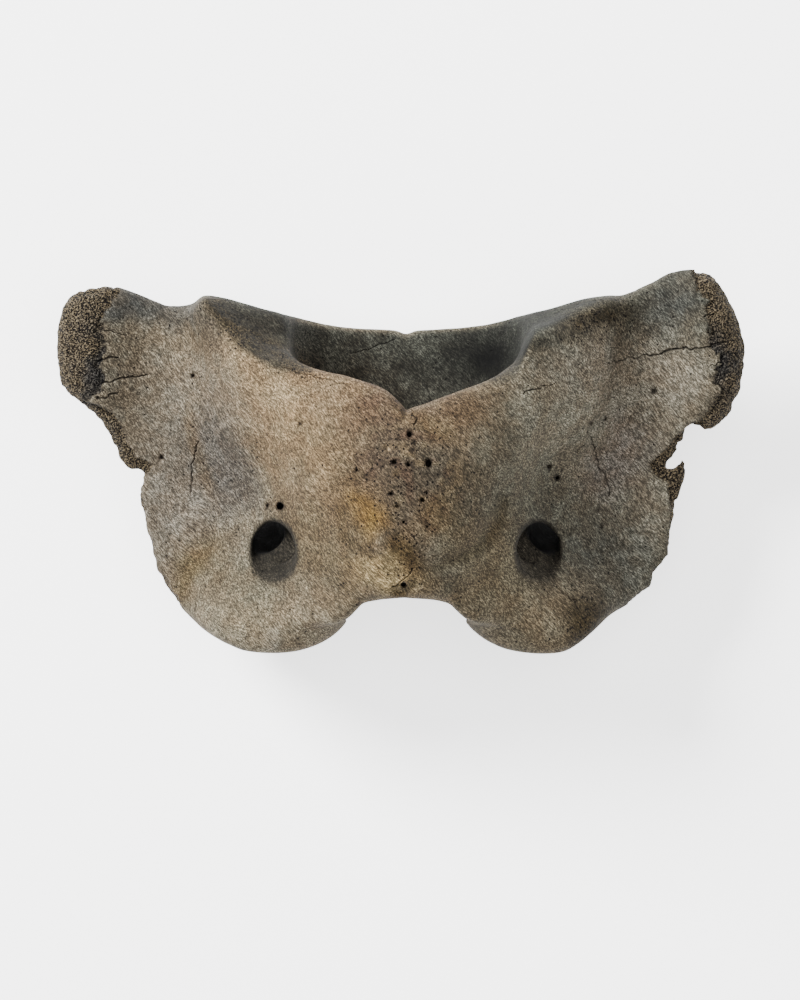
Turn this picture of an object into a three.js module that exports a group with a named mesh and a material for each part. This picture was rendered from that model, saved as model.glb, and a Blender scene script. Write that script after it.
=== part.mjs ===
// Weathered cow atlas, the first neck vertebra, lying on its underside. Millimetres, +Z up (dorsal), +Y
// towards the tail (caudal), -Y towards the skull (cranial), +X to the bone's right in the view from
// above. The bone is one closed surface of an implicit field: solids blend with smooth unions, and
// hollows are cut with smooth differences. The field is polygonized on a tetrahedral grid and then
// thinned by edge collapse.

import * as THREE from "three";

// Driving sizes
const WIDTH = 160; // across both wings. The places and sizes below are drawn for this width.
const REST_TILT = THREE.MathUtils.degToRad(8); // rise of the canal towards the tail as the bone lies
const CANAL_HEIGHT = 36; // height above the floor of the middle of the ring
const GRID = 1.8; // spacing of the sampling grid
const TRIANGLES = 9400; // left after thinning

// Outline seen from above, x and y. The tail and skull margins are alike on both sides.
const CAUDAL_MARGIN = [
  [0, 31.2], [2.6, 32.5], [10, 32.8], [18, 33.3], [25, 34.2], [32, 35.5], [38, 37.3], [43, 38.6], [47, 39],
];
const CRANIAL_MARGIN = [[36, -44.7], [28, -44.6], [21, -42.4], [15.5, -38.8], [11.2, -33.6], [8.4, -31.7]];
const NOTCH_BOTTOM = [0, -30.9];
// The wings differ, because their edges are worn and broken.
const LEFT_WING = [
  [-50, 37.1], [-55.5, 36.9], [-61, 39], [-66.5, 40.9], [-72, 41.1], [-77.3, 39.4], [-80, 35.4], [-81.4, 27],
  [-80.7, 19], [-78.2, 15.6], [-73.8, 12], [-70.2, 7.8], [-68.6, 4.5], [-67, 0.9], [-64.5, -1.4], [-62.2, -2.6],
  [-63.1, -7.3], [-61.8, -13.5], [-60.1, -20], [-58.6, -25.5], [-56.5, -29.6], [-53.6, -33.1], [-47.2, -38.8],
  [-41.2, -42.6],
];
const RIGHT_WING = [
  [50.5, 39.3], [56, 41.7], [61, 44.2], [65.5, 45], [70.3, 44], [73.4, 40.6], [76.6, 34.6], [78.9, 27], [78.5, 19.5],
  [76.6, 12.4], [72.4, 8.1], [69.3, 7.3], [66.6, 7.9], [65.4, 5.5], [63.8, 2.6], [62.4, -0.5], [65.4, 2.2],
  [65.6, -1.6], [64.9, -5], [63.7, -8.6], [63.2, -13.5], [62.2, -18.5], [62, -21.8], [58.9, -25.5], [57.2, -29.4],
  [52, -33.1], [47.6, -35.6], [42.4, -40.1],
];

// Helpers
const { clamp, lerp } = THREE.MathUtils;
const blendMin = (a, b, k) => {
  const h = Math.max(k - Math.abs(a - b), 0) / k;
  return Math.min(a, b) - (h * h * k) / 4;
};
const blendMax = (a, b, k) => -blendMin(-a, -b, k);
const step = (from, to, v) => {
  const t = clamp((v - from) / (to - from), 0, 1);
  return t * t * (3 - 2 * t);
};
const bump = (v, centre, width) => Math.exp(-(((v - centre) / width) ** 2));
const minus = (a, b) => [a[0] - b[0], a[1] - b[1], a[2] - b[2]];
const cross = ([ux, uy, uz], [vx, vy, vz]) => [uy * vz - uz * vy, uz * vx - ux * vz, ux * vy - uy * vx];
const dot = (a, b) => a[0] * b[0] + a[1] * b[1] + a[2] * b[2];

// Distance-like field of an ellipsoid, negative inside.
function ellipsoid(x, y, z, [cx, cy, cz], [rx, ry, rz]) {
  const px = (x - cx) / rx;
  const py = (y - cy) / ry;
  const pz = (z - cz) / rz;
  const near = Math.hypot(px, py, pz);
  if (near < 1e-6) return -Math.min(rx, ry, rz);
  return (near * (near - 1)) / Math.hypot(px / rx, py / ry, pz / rz);
}

// Rounded rod from a to b, whose radius runs from ra to rb.
function rod(x, y, z, a, b, ra, rb) {
  const [ex, ey, ez] = minus(b, a);
  const [wx, wy, wz] = minus([x, y, z], a);
  const t = clamp((wx * ex + wy * ey + wz * ez) / (ex * ex + ey * ey + ez * ez), 0, 1);
  return Math.hypot(wx - ex * t, wy - ey * t, wz - ez * t) - lerp(ra, rb, t);
}

// Rounded-square tube of half width a and half height b.
function tube(u, v, a, b, power) {
  const reach = (Math.abs(u / a) ** power + Math.abs(v / b) ** power) ** (1 / power);
  return (reach - 1) * Math.min(a, b);
}

// Outline as a closed smooth curve
const OUTLINE = (() => {
  const mirrored = (points) => points.map(([x, y]) => [-x, y]);
  const points = [
    ...mirrored(CAUDAL_MARGIN),
    ...LEFT_WING,
    ...mirrored(CRANIAL_MARGIN),
    NOTCH_BOTTOM,
    ...[...CRANIAL_MARGIN].reverse(),
    ...[...RIGHT_WING].reverse(),
    ...CAUDAL_MARGIN.slice(1).reverse(),
  ];
  const places = points.map(([x, y]) => new THREE.Vector3(x, y, 0));
  return new THREE.CatmullRomCurve3(places, true, "catmullrom", 0.5).getPoints(6 * points.length);
})();

// Signed distance from the outline, negative inside, kept on a 1 mm map and read between its points.
const edgeDistance = (() => {
  const HALF = [96, 56];
  const [across, along] = [2 * HALF[0] + 1, 2 * HALF[1] + 1];
  const map = new Float32Array(across * along);
  const distance = (x, y) => {
    let best = Infinity;
    let inside = false;
    OUTLINE.forEach((b, i) => {
      const a = OUTLINE[(i || OUTLINE.length) - 1];
      const [ex, ey, wx, wy] = [b.x - a.x, b.y - a.y, x - a.x, y - a.y];
      const t = clamp((wx * ex + wy * ey) / (ex * ex + ey * ey || 1), 0, 1);
      best = Math.min(best, (wx - ex * t) ** 2 + (wy - ey * t) ** 2);
      if (a.y > y !== b.y > y && x < (ex * wy) / ey + a.x) inside = !inside;
    });
    return (inside ? -1 : 1) * Math.sqrt(best);
  };
  for (let j = 0; j < along; j++) {
    for (let i = 0; i < across; i++) map[j * across + i] = distance(i - HALF[0], j - HALF[1]);
  }
  return (x, y) => {
    const fx = clamp(x + HALF[0], 0, across - 1.001);
    const fy = clamp(y + HALF[1], 0, along - 1.001);
    const [i, j] = [Math.floor(fx), Math.floor(fy)];
    const at = j * across + i;
    const low = lerp(map[at], map[at + 1], fx - i);
    const high = lerp(map[at + across], map[at + across + 1], fx - i);
    return lerp(low, high, fy - j);
  };
})();

// Parts of the bone. u is the distance from the midline; by and bz are the bone's own length and height,
// along and across the canal, from the middle of the ring.

// Ring of bone round the canal: the dorsal arch above, with its broad tubercle, and the ventral arch
// below.
function ring(u, by, bz) {
  const under = clamp(-bz / 20, 0, 1);
  const halfWidth = lerp(33.5 + 6 * step(5, 30, by), 33, under);
  const halfHeight = bz > 0 ? 36.5 - 3.5 * step(2, 20, by) - 3 * step(-14, -28, by) : 33;
  const roundness = 1.75 + 0.55 * clamp(0.5 - bz / 20, 0, 1);
  let f = tube(u, bz, halfWidth, halfHeight, roundness);
  f = blendMax(f, Math.abs(by) - 34, 4);
  return blendMin(f, ellipsoid(u, by, bz, [0, -9, 29.5], [15, 19, 9.5]), 7);
}

// Walls of the two cups for the skull's condyles, with the lower rims that the bone rests on.
function cupWall(u, y, z) {
  const wall = ellipsoid(u, y, z, [27, -37, 24], [22.5, 17, 24.5]);
  const rim = ellipsoid(u, y, z, [19, -25, 10.5], [13, 11, 11.2]);
  return blendMin(wall, rim, 8);
}

// Buttress that carries each joint face for the next vertebra, and the crest that runs up to its outer
// corner. The right crest is lower and rounder.
function buttress(x, u, y, z) {
  const right = step(-8, 8, x);
  const pillar = ellipsoid(u, y, z, [33, 20, 30], [15, 22, 24]);
  const crest = rod(u, y, z, [14, 2, 58], [42.5, 36, 44 - 4.5 * right], 10, 6 + 1.5 * right);
  return blendMin(pillar, crest, 10);
}

const ventralTubercle = (x, by, bz) => ellipsoid(x, by, bz, [0, 18, -31], [10, 13, 8.6]);

// Sloping surface at the tail end: the joint faces for the next vertebra at the sides and the edges of
// both arches in the middle, where the dorsal arch has a deep notch. It leans more on the left than on
// the right.
function caudalFace(x, u, y, z) {
  const share = Math.min(u / 47, 1);
  const margin = 32.4 + 6.8 * share ** 2.3;
  const turn = 21 + 27 * share ** 2.4;
  const left = 0.295 + 0.18 * step(12, 44, u);
  const right = 0.37 - 0.22 * step(24, 30, u);
  const lean = lerp(left, right, step(-6, 6, x));
  const notch = 5.6 * Math.exp(-u / 5.5) * step(44, 54, z);
  return (y - margin + notch + lean * Math.max(0, z - turn) + 0.04 * Math.max(0, turn - z)) * 0.95;
}

// Sloping surface across the rims of the two cups.
const cranialFace = (y, z) => (0.26 * (46 - z) - (y + 46)) * 0.97;

// How near a place is to the thick outer corner of the wing next to the tail, 0 to 1.
const cornerShare = (u, y) => step(60, 74, u) * step(2, 18, y);

// Plate of the wing, thinner at its edge. The outline is cut out of it later.
function wing(u, y, z, edge) {
  const corner = cornerShare(u, y);
  const middle = 30 + 0.14 * y + 2 * corner - 3.2 * bump(u, 50, 12) * step(-40, 0, y);
  const half = 2.6 + 1.5 * step(0, 16, -edge) + 3 * corner + 2.6 * step(48, 34, u) + 1.5 * bump(y, 38, 12);
  return Math.abs(z - middle) - half;
}

// Canal for the spinal cord, wider at both ends. At the skull end it passes below the lobes over the
// cups.
function canal(u, by, bz) {
  const floor = -17.5 - 1.5 * step(10, 30, by);
  const roof = 25 + step(5, 20, by) - 20 * step(-30, -38, by);
  const halfWidth = 21.5 + 5.5 * step(2, 34, by) + 3 * step(-26, -38, by);
  return tube(u, bz - (floor + roof) / 2, halfWidth, (roof - floor) / 2, 2.3);
}

const cupHollow = (u, y, z) => ellipsoid(u, y, z, [23.5, -44, 20], [20, 18.5, 18]);
const ventralNotch = (x, y, z) => rod(x, y, z, [0, -33, 0], [0, -37, 22], 9, 9);

// Oval pit on each side. Its floor slopes up towards the skull, and from its deep end one hole leads
// through the wing's root to the underside and a smaller one into the canal.
function alarHollow(u, y, z) {
  const oval = (Math.hypot((u - 30.4) / 5.1, (y + 20.7) / 6.9) - 1) * 5.1;
  const floor = 39 - 1.2 * (y + 20.7) - (u - 30.4);
  const pit = blendMax(oval, (floor - z) * 0.54, 3);
  const wingHole = rod(u, y, z, [31.8, -17.4, 34], [38.6, -3, 13], 3.3, 3.6);
  const nerveHole = rod(u, y, z, [28.5, -20, 41.5], [16, -15, 42], 2.8, 2.8);
  return blendMin(blendMin(pit, wingHole, 2), nerveHole, 2);
}
const wingFossa = (u, y, z) => ellipsoid(u, y, z, [45, 4, 10], [17, 27, 16]);

// The whole bone, negative inside
const [COS, SIN] = [Math.cos(REST_TILT), Math.sin(REST_TILT)];
function bone(x, y, z) {
  const u = Math.abs(x);
  const by = y * COS + (z - CANAL_HEIGHT) * SIN;
  const bz = -y * SIN + (z - CANAL_HEIGHT) * COS;
  const edge = edgeDistance(x, y);
  let f = blendMin(ring(u, by, bz), cupWall(u, y, z), 9);
  f = blendMin(f, buttress(x, u, y, z), 9);
  f = blendMin(f, ventralTubercle(x, by, bz), 6);
  f = blendMax(f, caudalFace(x, u, y, z), 3);
  f = blendMax(f, cranialFace(y, z), 3);
  f = blendMin(f, wing(u, y, z, edge), 12);
  f = blendMax(f, edge, 3.5 + 4.5 * cornerShare(u, y));
  f = blendMax(f, -canal(u, by, bz), 3);
  f = blendMax(f, -cupHollow(u, y, z), 3);
  f = blendMax(f, -ventralNotch(x, y, z), 3);
  f = blendMax(f, -wingFossa(u, y, z), 8);
  f = blendMax(f, -alarHollow(u, y, z), 1.2);
  return blendMax(f, -z, 0.8);
}

// Polygonizing. Each cube of the grid is split into six tetrahedra along its long diagonal, so the
// surface closes. A corner's number tells its place: 1 for x, 2 for y and 4 for z. Every tetrahedron is
// listed right-handed.
const TETRAHEDRA = [[0, 1, 3, 7], [0, 5, 1, 7], [0, 3, 2, 7], [0, 2, 6, 7], [0, 4, 5, 7], [0, 6, 4, 7]];
// Orders of a tetrahedron's corners that keep it right-handed.
const SINGLE_FIRST = [[0, 1, 2, 3], [1, 0, 3, 2], [2, 0, 1, 3], [3, 0, 2, 1]];
const PAIR_FIRST = [[0, 1, 2, 3], [0, 2, 3, 1], [0, 3, 1, 2], [1, 2, 0, 3], [1, 3, 2, 0], [2, 3, 0, 1]];

function sample(low, counts) {
  const values = new Float32Array(counts[0] * counts[1] * counts[2]);
  let at = 0;
  for (let k = 0; k < counts[2]; k++) {
    for (let j = 0; j < counts[1]; j++) {
      for (let i = 0; i < counts[0]; i++) {
        const v = bone(low[0] + i * GRID, low[1] + j * GRID, low[2] + k * GRID);
        values[at++] = v || 1e-6;
      }
    }
  }
  return values;
}

// Point where the surface crosses the line from inside point a to outside point b, by halving.
function crossing(a, b) {
  let [near, far] = [0.02, 0.98];
  const place = (t) => [lerp(a[0], b[0], t), lerp(a[1], b[1], t), lerp(a[2], b[2], t)];
  for (let turn = 0; turn < 12; turn++) {
    const middle = (near + far) / 2;
    if (bone(...place(middle)) < 0) near = middle;
    else far = middle;
  }
  return place((near + far) / 2);
}

function polygonize() {
  const low = [-83, -46, -1.1];
  const counts = [165, 93, 79].map((size) => Math.ceil(size / GRID) + 1);
  const values = sample(low, counts);
  const strides = [1, counts[0], counts[0] * counts[1]];
  const shift = (corner) =>
    (corner & 1) * strides[0] + ((corner >> 1) & 1) * strides[1] + (corner >> 2) * strides[2];
  const shifts = [0, 1, 2, 3, 4, 5, 6, 7].map(shift);
  const points = [];
  const faces = [];
  const known = new Map();

  const position = (index) => [
    low[0] + (index % strides[1]) * GRID,
    low[1] + (Math.floor(index / strides[1]) % counts[1]) * GRID,
    low[2] + Math.floor(index / strides[2]) * GRID,
  ];
  // Number of the surface point on the edge between an inside and an outside corner of a cube.
  const pointOn = (cube, inside, outside) => {
    const key = (cube + shifts[inside & outside]) * 8 + (inside ^ outside);
    if (!known.has(key)) {
      known.set(key, points.length);
      points.push(crossing(position(cube + shifts[inside]), position(cube + shifts[outside])));
    }
    return known.get(key);
  };
  const cut = (cube, corners) => {
    const within = corners.map((corner) => values[cube + shifts[corner]] < 0);
    const total = within.filter(Boolean).length;
    if (total === 0 || total === 4) return;
    if (total === 2) {
      const order = PAIR_FIRST.find(([p, q]) => within[p] && within[q]);
      const [p, q, r, s] = order.map((place) => corners[place]);
      const square = [pointOn(cube, p, r), pointOn(cube, p, s), pointOn(cube, q, s), pointOn(cube, q, r)];
      faces.push([square[0], square[1], square[2]], [square[0], square[2], square[3]]);
      return;
    }
    const single = within.indexOf(total === 1);
    const [p, q, r, s] = SINGLE_FIRST[single].map((place) => corners[place]);
    if (total === 1) faces.push([pointOn(cube, p, q), pointOn(cube, p, r), pointOn(cube, p, s)]);
    else faces.push([pointOn(cube, q, p), pointOn(cube, s, p), pointOn(cube, r, p)]);
  };
  for (let k = 0; k < counts[2] - 1; k++) {
    for (let j = 0; j < counts[1] - 1; j++) {
      for (let i = 0; i < counts[0] - 1; i++) {
        const cube = i * strides[0] + j * strides[1] + k * strides[2];
        const first = values[cube] < 0;
        if (shifts.every((offset) => values[cube + offset] < 0 === first)) continue;
        TETRAHEDRA.forEach((corners) => cut(cube, corners));
      }
    }
  }
  return { points, faces };
}

// Only the largest connected surface is kept.
function largestSurface(points, faces) {
  const parent = points.map((_, i) => i);
  const root = (i) => {
    while (parent[i] !== i) {
      parent[i] = parent[parent[i]];
      i = parent[i];
    }
    return i;
  };
  faces.forEach(([a, b, c]) => {
    parent[root(a)] = root(b);
    parent[root(b)] = root(c);
  });
  const sizes = new Map();
  faces.forEach(([a]) => sizes.set(root(a), (sizes.get(root(a)) || 0) + 1));
  const largest = [...sizes].sort((p, q) => q[1] - p[1])[0][0];
  return faces.filter(([a]) => root(a) === largest);
}

// Thinning by edge collapse. Each point carries a quadric, the sum of squared distances to its faces'
// planes, as the ten numbers of a symmetric 4 x 4 matrix.
function faceQuadric(a, b, c) {
  const normal = cross(minus(b, a), minus(c, a));
  const area = Math.hypot(...normal) || 1e-12;
  const [nx, ny, nz] = normal.map((v) => v / area);
  const d = -dot([nx, ny, nz], a);
  const terms = [nx * nx, nx * ny, nx * nz, nx * d, ny * ny, ny * nz, ny * d, nz * nz, nz * d, d * d];
  return terms.map((v) => v * area);
}

function quadricError(q, [x, y, z]) {
  const squares = q[0] * x * x + q[4] * y * y + q[7] * z * z + q[9];
  return squares + 2 * (q[1] * x * y + q[2] * x * z + q[3] * x + q[5] * y * z + q[6] * y + q[8] * z);
}

// Best place for the merged point, drawn slightly to the middle of the edge so that flat regions stay
// even.
function bestPlace(q, middle) {
  const pull = 2e-3 * (q[0] + q[4] + q[7]) + 1e-9;
  const [a, b, c] = [q[0] + pull, q[1], q[2]];
  const [e, f, i] = [q[4] + pull, q[5], q[7] + pull];
  const right = [pull * middle[0] - q[3], pull * middle[1] - q[6], pull * middle[2] - q[8]];
  const [aa, ab, ac] = [e * i - f * f, c * f - b * i, b * f - c * e];
  const [bb, bc, cc] = [a * i - c * c, b * c - a * f, a * e - b * b];
  const whole = a * aa + b * ab + c * ac;
  return [[aa, ab, ac], [ab, bb, bc], [ac, bc, cc]].map((row) => dot(row, right) / whole);
}

// Queue that gives the item of least cost first.
class Queue {
  items = [];

  push(item) {
    const list = this.items;
    let at = list.push(item) - 1;
    while (at > 0) {
      const above = (at - 1) >> 1;
      if (list[above].cost <= item.cost) break;
      list[at] = list[above];
      at = above;
    }
    list[at] = item;
  }

  pop() {
    const list = this.items;
    const first = list[0];
    const last = list.pop();
    if (!list.length) return first;
    let at = 0;
    for (;;) {
      let below = 2 * at + 1;
      if (below >= list.length) break;
      if (below + 1 < list.length && list[below + 1].cost < list[below].cost) below++;
      if (list[below].cost >= last.cost) break;
      list[at] = list[below];
      at = below;
    }
    list[at] = last;
    return first;
  }
}

function thin(points, faces, target) {
  const around = points.map(() => []);
  const quadrics = points.map(() => new Array(10).fill(0));
  const stamps = new Int32Array(points.length);
  const alive = new Uint8Array(faces.length).fill(1);
  const queue = new Queue();
  faces.forEach((face, index) => {
    const terms = faceQuadric(...face.map((corner) => points[corner]));
    face.forEach((corner) => {
      around[corner].push(index);
      terms.forEach((v, n) => (quadrics[corner][n] += v));
    });
  });

  const neighbours = (corner) => {
    const corners = around[corner].flatMap((index) => faces[index]);
    return new Set(corners.filter((v) => v !== corner));
  };
  const offer = (a, b) => {
    const sum = quadrics[a].map((v, n) => v + quadrics[b][n]);
    const middle = points[a].map((v, n) => (v + points[b][n]) / 2);
    const place = bestPlace(sum, middle);
    const length = Math.hypot(...minus(points[a], points[b]));
    const cost = Math.max(0, quadricError(sum, place)) + 3e-4 * length ** 2;
    queue.push({ cost, a, b, sum, place, stamp: stamps[a] + stamps[b] });
  };
  // True if no face round the corner would turn over or become a sliver when the corner moves.
  const staysSound = (corner, other, place) =>
    around[corner].every((index) => {
      const face = faces[index];
      if (face.includes(other)) return true;
      const before = face.map((v) => points[v]);
      const after = face.map((v) => (v === corner ? place : points[v]));
      const [was, is] = [before, after].map(([p, q, r]) => cross(minus(q, p), minus(r, p)));
      const [wasArea, isArea] = [Math.hypot(...was), Math.hypot(...is)];
      const sides = after.map((p, n) => Math.hypot(...minus(p, after[(n + 1) % 3])));
      const agrees = dot(was, is) > 0.25 * wasArea * isArea;
      return (agrees || wasArea < 1e-3) && isArea > 0.06 * Math.max(...sides) ** 2;
    });
  const collapse = ({ a, b, sum, place }) => {
    points[a] = place;
    quadrics[a] = sum;
    around[b].forEach((index) => {
      const face = faces[index];
      if (face.includes(a)) {
        alive[index] = 0;
        return;
      }
      face[face.indexOf(b)] = a;
      around[a].push(index);
    });
    around[b] = [];
    around[a] = around[a].filter((index) => alive[index]);
    neighbours(a).forEach((corner) => {
      around[corner] = around[corner].filter((index) => alive[index]);
    });
    stamps[a]++;
    stamps[b] = -1e8;
  };

  faces.forEach(([a, b, c]) => {
    [[a, b], [b, c], [c, a]].forEach(([p, q]) => p < q && offer(p, q));
  });
  let left = faces.length;
  while (left > target && queue.items.length) {
    const item = queue.pop();
    const { a, b, place, stamp } = item;
    if (stamp !== stamps[a] + stamps[b]) continue;
    const beside = neighbours(b);
    const shared = [...neighbours(a)].filter((corner) => beside.has(corner)).length;
    if (shared !== 2 || !staysSound(a, b, place) || !staysSound(b, a, place)) continue;
    collapse(item);
    left -= 2;
    neighbours(a).forEach((corner) => {
      stamps[corner]++;
    });
    const around1 = neighbours(a);
    around1.forEach((corner) => {
      neighbours(corner).forEach((next) => {
        if (next === a || corner < next || !around1.has(next)) offer(corner, next);
      });
    });
  }
  return faces.filter((_, index) => alive[index]);
}

// The finished bone
function boneGeometry() {
  const { points, faces } = polygonize();
  const kept = thin(points, largestSurface(points, faces), TRIANGLES);
  const corners = kept.flat().map((v) => points[v]);
  const positions = corners.flatMap(([x, y, z]) => [x, y, z < 0.12 ? 0 : z]);
  const geometry = new THREE.BufferGeometry();
  geometry.setAttribute("position", new THREE.Float32BufferAttribute(positions, 3));
  geometry.computeBoundingBox();
  const { min, max } = geometry.boundingBox;
  geometry.translate(-(min.x + max.x) / 2, -(min.y + max.y) / 2, -min.z);
  const scale = WIDTH / (max.x - min.x);
  geometry.scale(scale, scale, scale);
  geometry.computeVertexNormals();
  return geometry;
}

const weatheredBone = new THREE.MeshStandardMaterial({
  name: "weathered_bone",
  color: "#8d8172",
  roughness: 0.9,
  metalness: 0,
});

const atlas = new THREE.Mesh(boneGeometry(), weatheredBone);
atlas.name = "atlas";

const part = new THREE.Group();
part.name = "cow_atlas_vertebra";
part.add(atlas);
export default part;
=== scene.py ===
import math

import bmesh
import bpy
import numpy as np
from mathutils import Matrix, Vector


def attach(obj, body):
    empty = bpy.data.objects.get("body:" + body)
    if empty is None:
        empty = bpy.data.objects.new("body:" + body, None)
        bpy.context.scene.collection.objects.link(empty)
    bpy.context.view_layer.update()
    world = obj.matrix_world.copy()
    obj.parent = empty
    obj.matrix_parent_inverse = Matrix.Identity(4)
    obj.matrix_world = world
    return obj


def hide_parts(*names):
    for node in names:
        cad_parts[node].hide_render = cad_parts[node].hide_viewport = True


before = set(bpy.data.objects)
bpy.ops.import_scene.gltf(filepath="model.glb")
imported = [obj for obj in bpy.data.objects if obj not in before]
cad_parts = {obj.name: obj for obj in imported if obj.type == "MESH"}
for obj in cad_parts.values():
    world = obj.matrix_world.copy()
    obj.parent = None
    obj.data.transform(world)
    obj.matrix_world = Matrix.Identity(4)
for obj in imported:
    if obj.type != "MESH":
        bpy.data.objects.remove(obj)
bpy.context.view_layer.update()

# The bone is one closed surface of a field that is negative inside it. The field and its sizes are those
# of the part's source, in millimetres. Wear, cracks and blood vessel holes are then added to it.

# Driving sizes
DRAWING_CENTRE = np.array([-1.2026, 0.4687, 0])  # place of the part's origin in the drawing of the bone
REST_TILT = math.radians(8)  # rise of the canal towards the tail as the bone lies
CANAL_HEIGHT = 36.0  # height above the floor of the middle of the ring
GRID = 0.58  # spacing of the sampling grid
WEAR_BAND = 3.2  # distance from the plain bone within which the wear is worked out
HOLE_DEPTH = 2.6  # how far blood vessel holes go in
HOLE_SHARE = 0.82  # width of a blood vessel hole beside that of its dark mark in the photograph
CRACK_DEPTH = 0.42
CRACK_SHARE = 0.72  # width of an open crack beside that of its dark mark in the photograph
CRACK_BAND = 3.2  # half widths of a crack within which the mesh is split finely
CRACK_FLOOR = 12  # height above the floor from which cracks are cut

# The photograph: its size in pixels, millimetres to a pixel, and the pixel at x = 0, y = 0 of the drawing
PHOTO_SIZE = (800, 1000)
PIXEL = 0.2324
MIDLINE_PX = 406.0
ZERO_PY = 463.25

# Outline seen from above, x and y. The tail and skull margins are alike on both sides.
CAUDAL_MARGIN = [
    (0, 31.2), (2.6, 32.5), (10, 32.8), (18, 33.3), (25, 34.2), (32, 35.5), (38, 37.3), (43, 38.6),
    (47, 39),
]
CRANIAL_MARGIN = [(36, -44.7), (28, -44.6), (21, -42.4), (15.5, -38.8), (11.2, -33.6), (8.4, -31.7)]
NOTCH_BOTTOM = (0, -30.9)
# The wings differ, because their edges are worn and broken. The bite in the right one, beside the small
# splinter, is drawn more finely here than in the part's source.
LEFT_WING = [
    (-50, 37.1), (-55.5, 36.9), (-61, 39), (-66.5, 40.9), (-72, 41.1), (-77.3, 39.4), (-80, 35.4),
    (-81.4, 27), (-80.7, 19), (-78.2, 15.6), (-73.8, 12), (-70.2, 7.8), (-68.6, 4.5), (-67, 0.9),
    (-64.5, -1.4), (-62.2, -2.6), (-63.1, -7.3), (-61.8, -13.5), (-60.1, -20), (-58.6, -25.5),
    (-56.5, -29.6), (-53.6, -33.1), (-47.2, -38.8), (-41.2, -42.6),
]
RIGHT_WING = [
    (50.5, 39.3), (56, 41.7), (61, 44.2), (65.5, 45), (70.3, 44), (73.4, 40.6), (76.6, 34.6),
    (78.9, 27), (78.5, 19.5), (76.6, 12.4), (72.4, 8.1), (69.3, 7.3), (66.6, 7.9), (65.2, 5.6),
    (63.9, 3), (62.6, 1), (61.3, -0.6), (63, 0.2), (65, 2.1), (65.6, -1.6), (64.9, -5), (63.7, -8.6),
    (63.2, -13.5), (62.2, -18.5), (62, -21.8), (58.9, -25.5), (57.2, -29.4), (52, -33.1), (47.6, -35.6),
    (42.4, -40.1),
]


def blend_min(a, b, k):
    h = np.maximum(k - np.abs(a - b), 0) / k
    return np.minimum(a, b) - h * h * k / 4


def blend_max(a, b, k):
    return -blend_min(-a, -b, k)


def step(start, end, v):
    t = np.clip((v - start) / (end - start), 0, 1)
    return t * t * (3 - 2 * t)


def bump(v, centre, width):
    return np.exp(-(((v - centre) / width) ** 2))


def mix(a, b, t):
    return a + (b - a) * t


def ellipsoid(x, y, z, c, r):
    """Distance-like field of an ellipsoid with centre c and half sizes r."""
    px, py, pz = (x - c[0]) / r[0], (y - c[1]) / r[1], (z - c[2]) / r[2]
    near = np.sqrt(px * px + py * py + pz * pz) + 1e-6
    slope = np.sqrt((px / r[0]) ** 2 + (py / r[1]) ** 2 + (pz / r[2]) ** 2) + 1e-6
    return near * (near - 1) / slope


def rod(x, y, z, a, b, ra, rb):
    """Rounded rod from a to b, whose radius runs from ra to rb."""
    e = [b[i] - a[i] for i in range(3)]
    wx, wy, wz = x - a[0], y - a[1], z - a[2]
    t = np.clip((wx * e[0] + wy * e[1] + wz * e[2]) / sum(v * v for v in e), 0, 1)
    away = np.sqrt((wx - e[0] * t) ** 2 + (wy - e[1] * t) ** 2 + (wz - e[2] * t) ** 2)
    return away - mix(ra, rb, t)


def tube(u, v, a, b, power):
    """Rounded-square tube of half width a and half height b."""
    reach = np.power(np.abs(u / a) + 1e-9, power) + np.power(np.abs(v / b) + 1e-9, power)
    return (np.power(reach, 1 / power) - 1) * np.minimum(a, b)


def mirrored(points):
    return [(-x, y) for x, y in points]


def outline():
    """Outline as a closed smooth curve, in six steps from point to point."""
    points = mirrored(CAUDAL_MARGIN) + LEFT_WING + mirrored(CRANIAL_MARGIN) + [NOTCH_BOTTOM]
    points += CRANIAL_MARGIN[::-1] + RIGHT_WING[::-1] + CAUDAL_MARGIN[1:][::-1]
    p1 = np.array(points, float)
    p0, p2, p3 = np.roll(p1, 1, 0), np.roll(p1, -1, 0), np.roll(p1, -2, 0)
    rows = []
    for t in np.arange(6) / 6:
        rows.append(0.5 * (2 * p1 + (p2 - p0) * t + (2 * p0 - 5 * p1 + 4 * p2 - p3) * t**2
                           + (3 * p1 - p0 - 3 * p2 + p3) * t**3))
    return np.stack(rows, 1).reshape(-1, 2)


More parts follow.
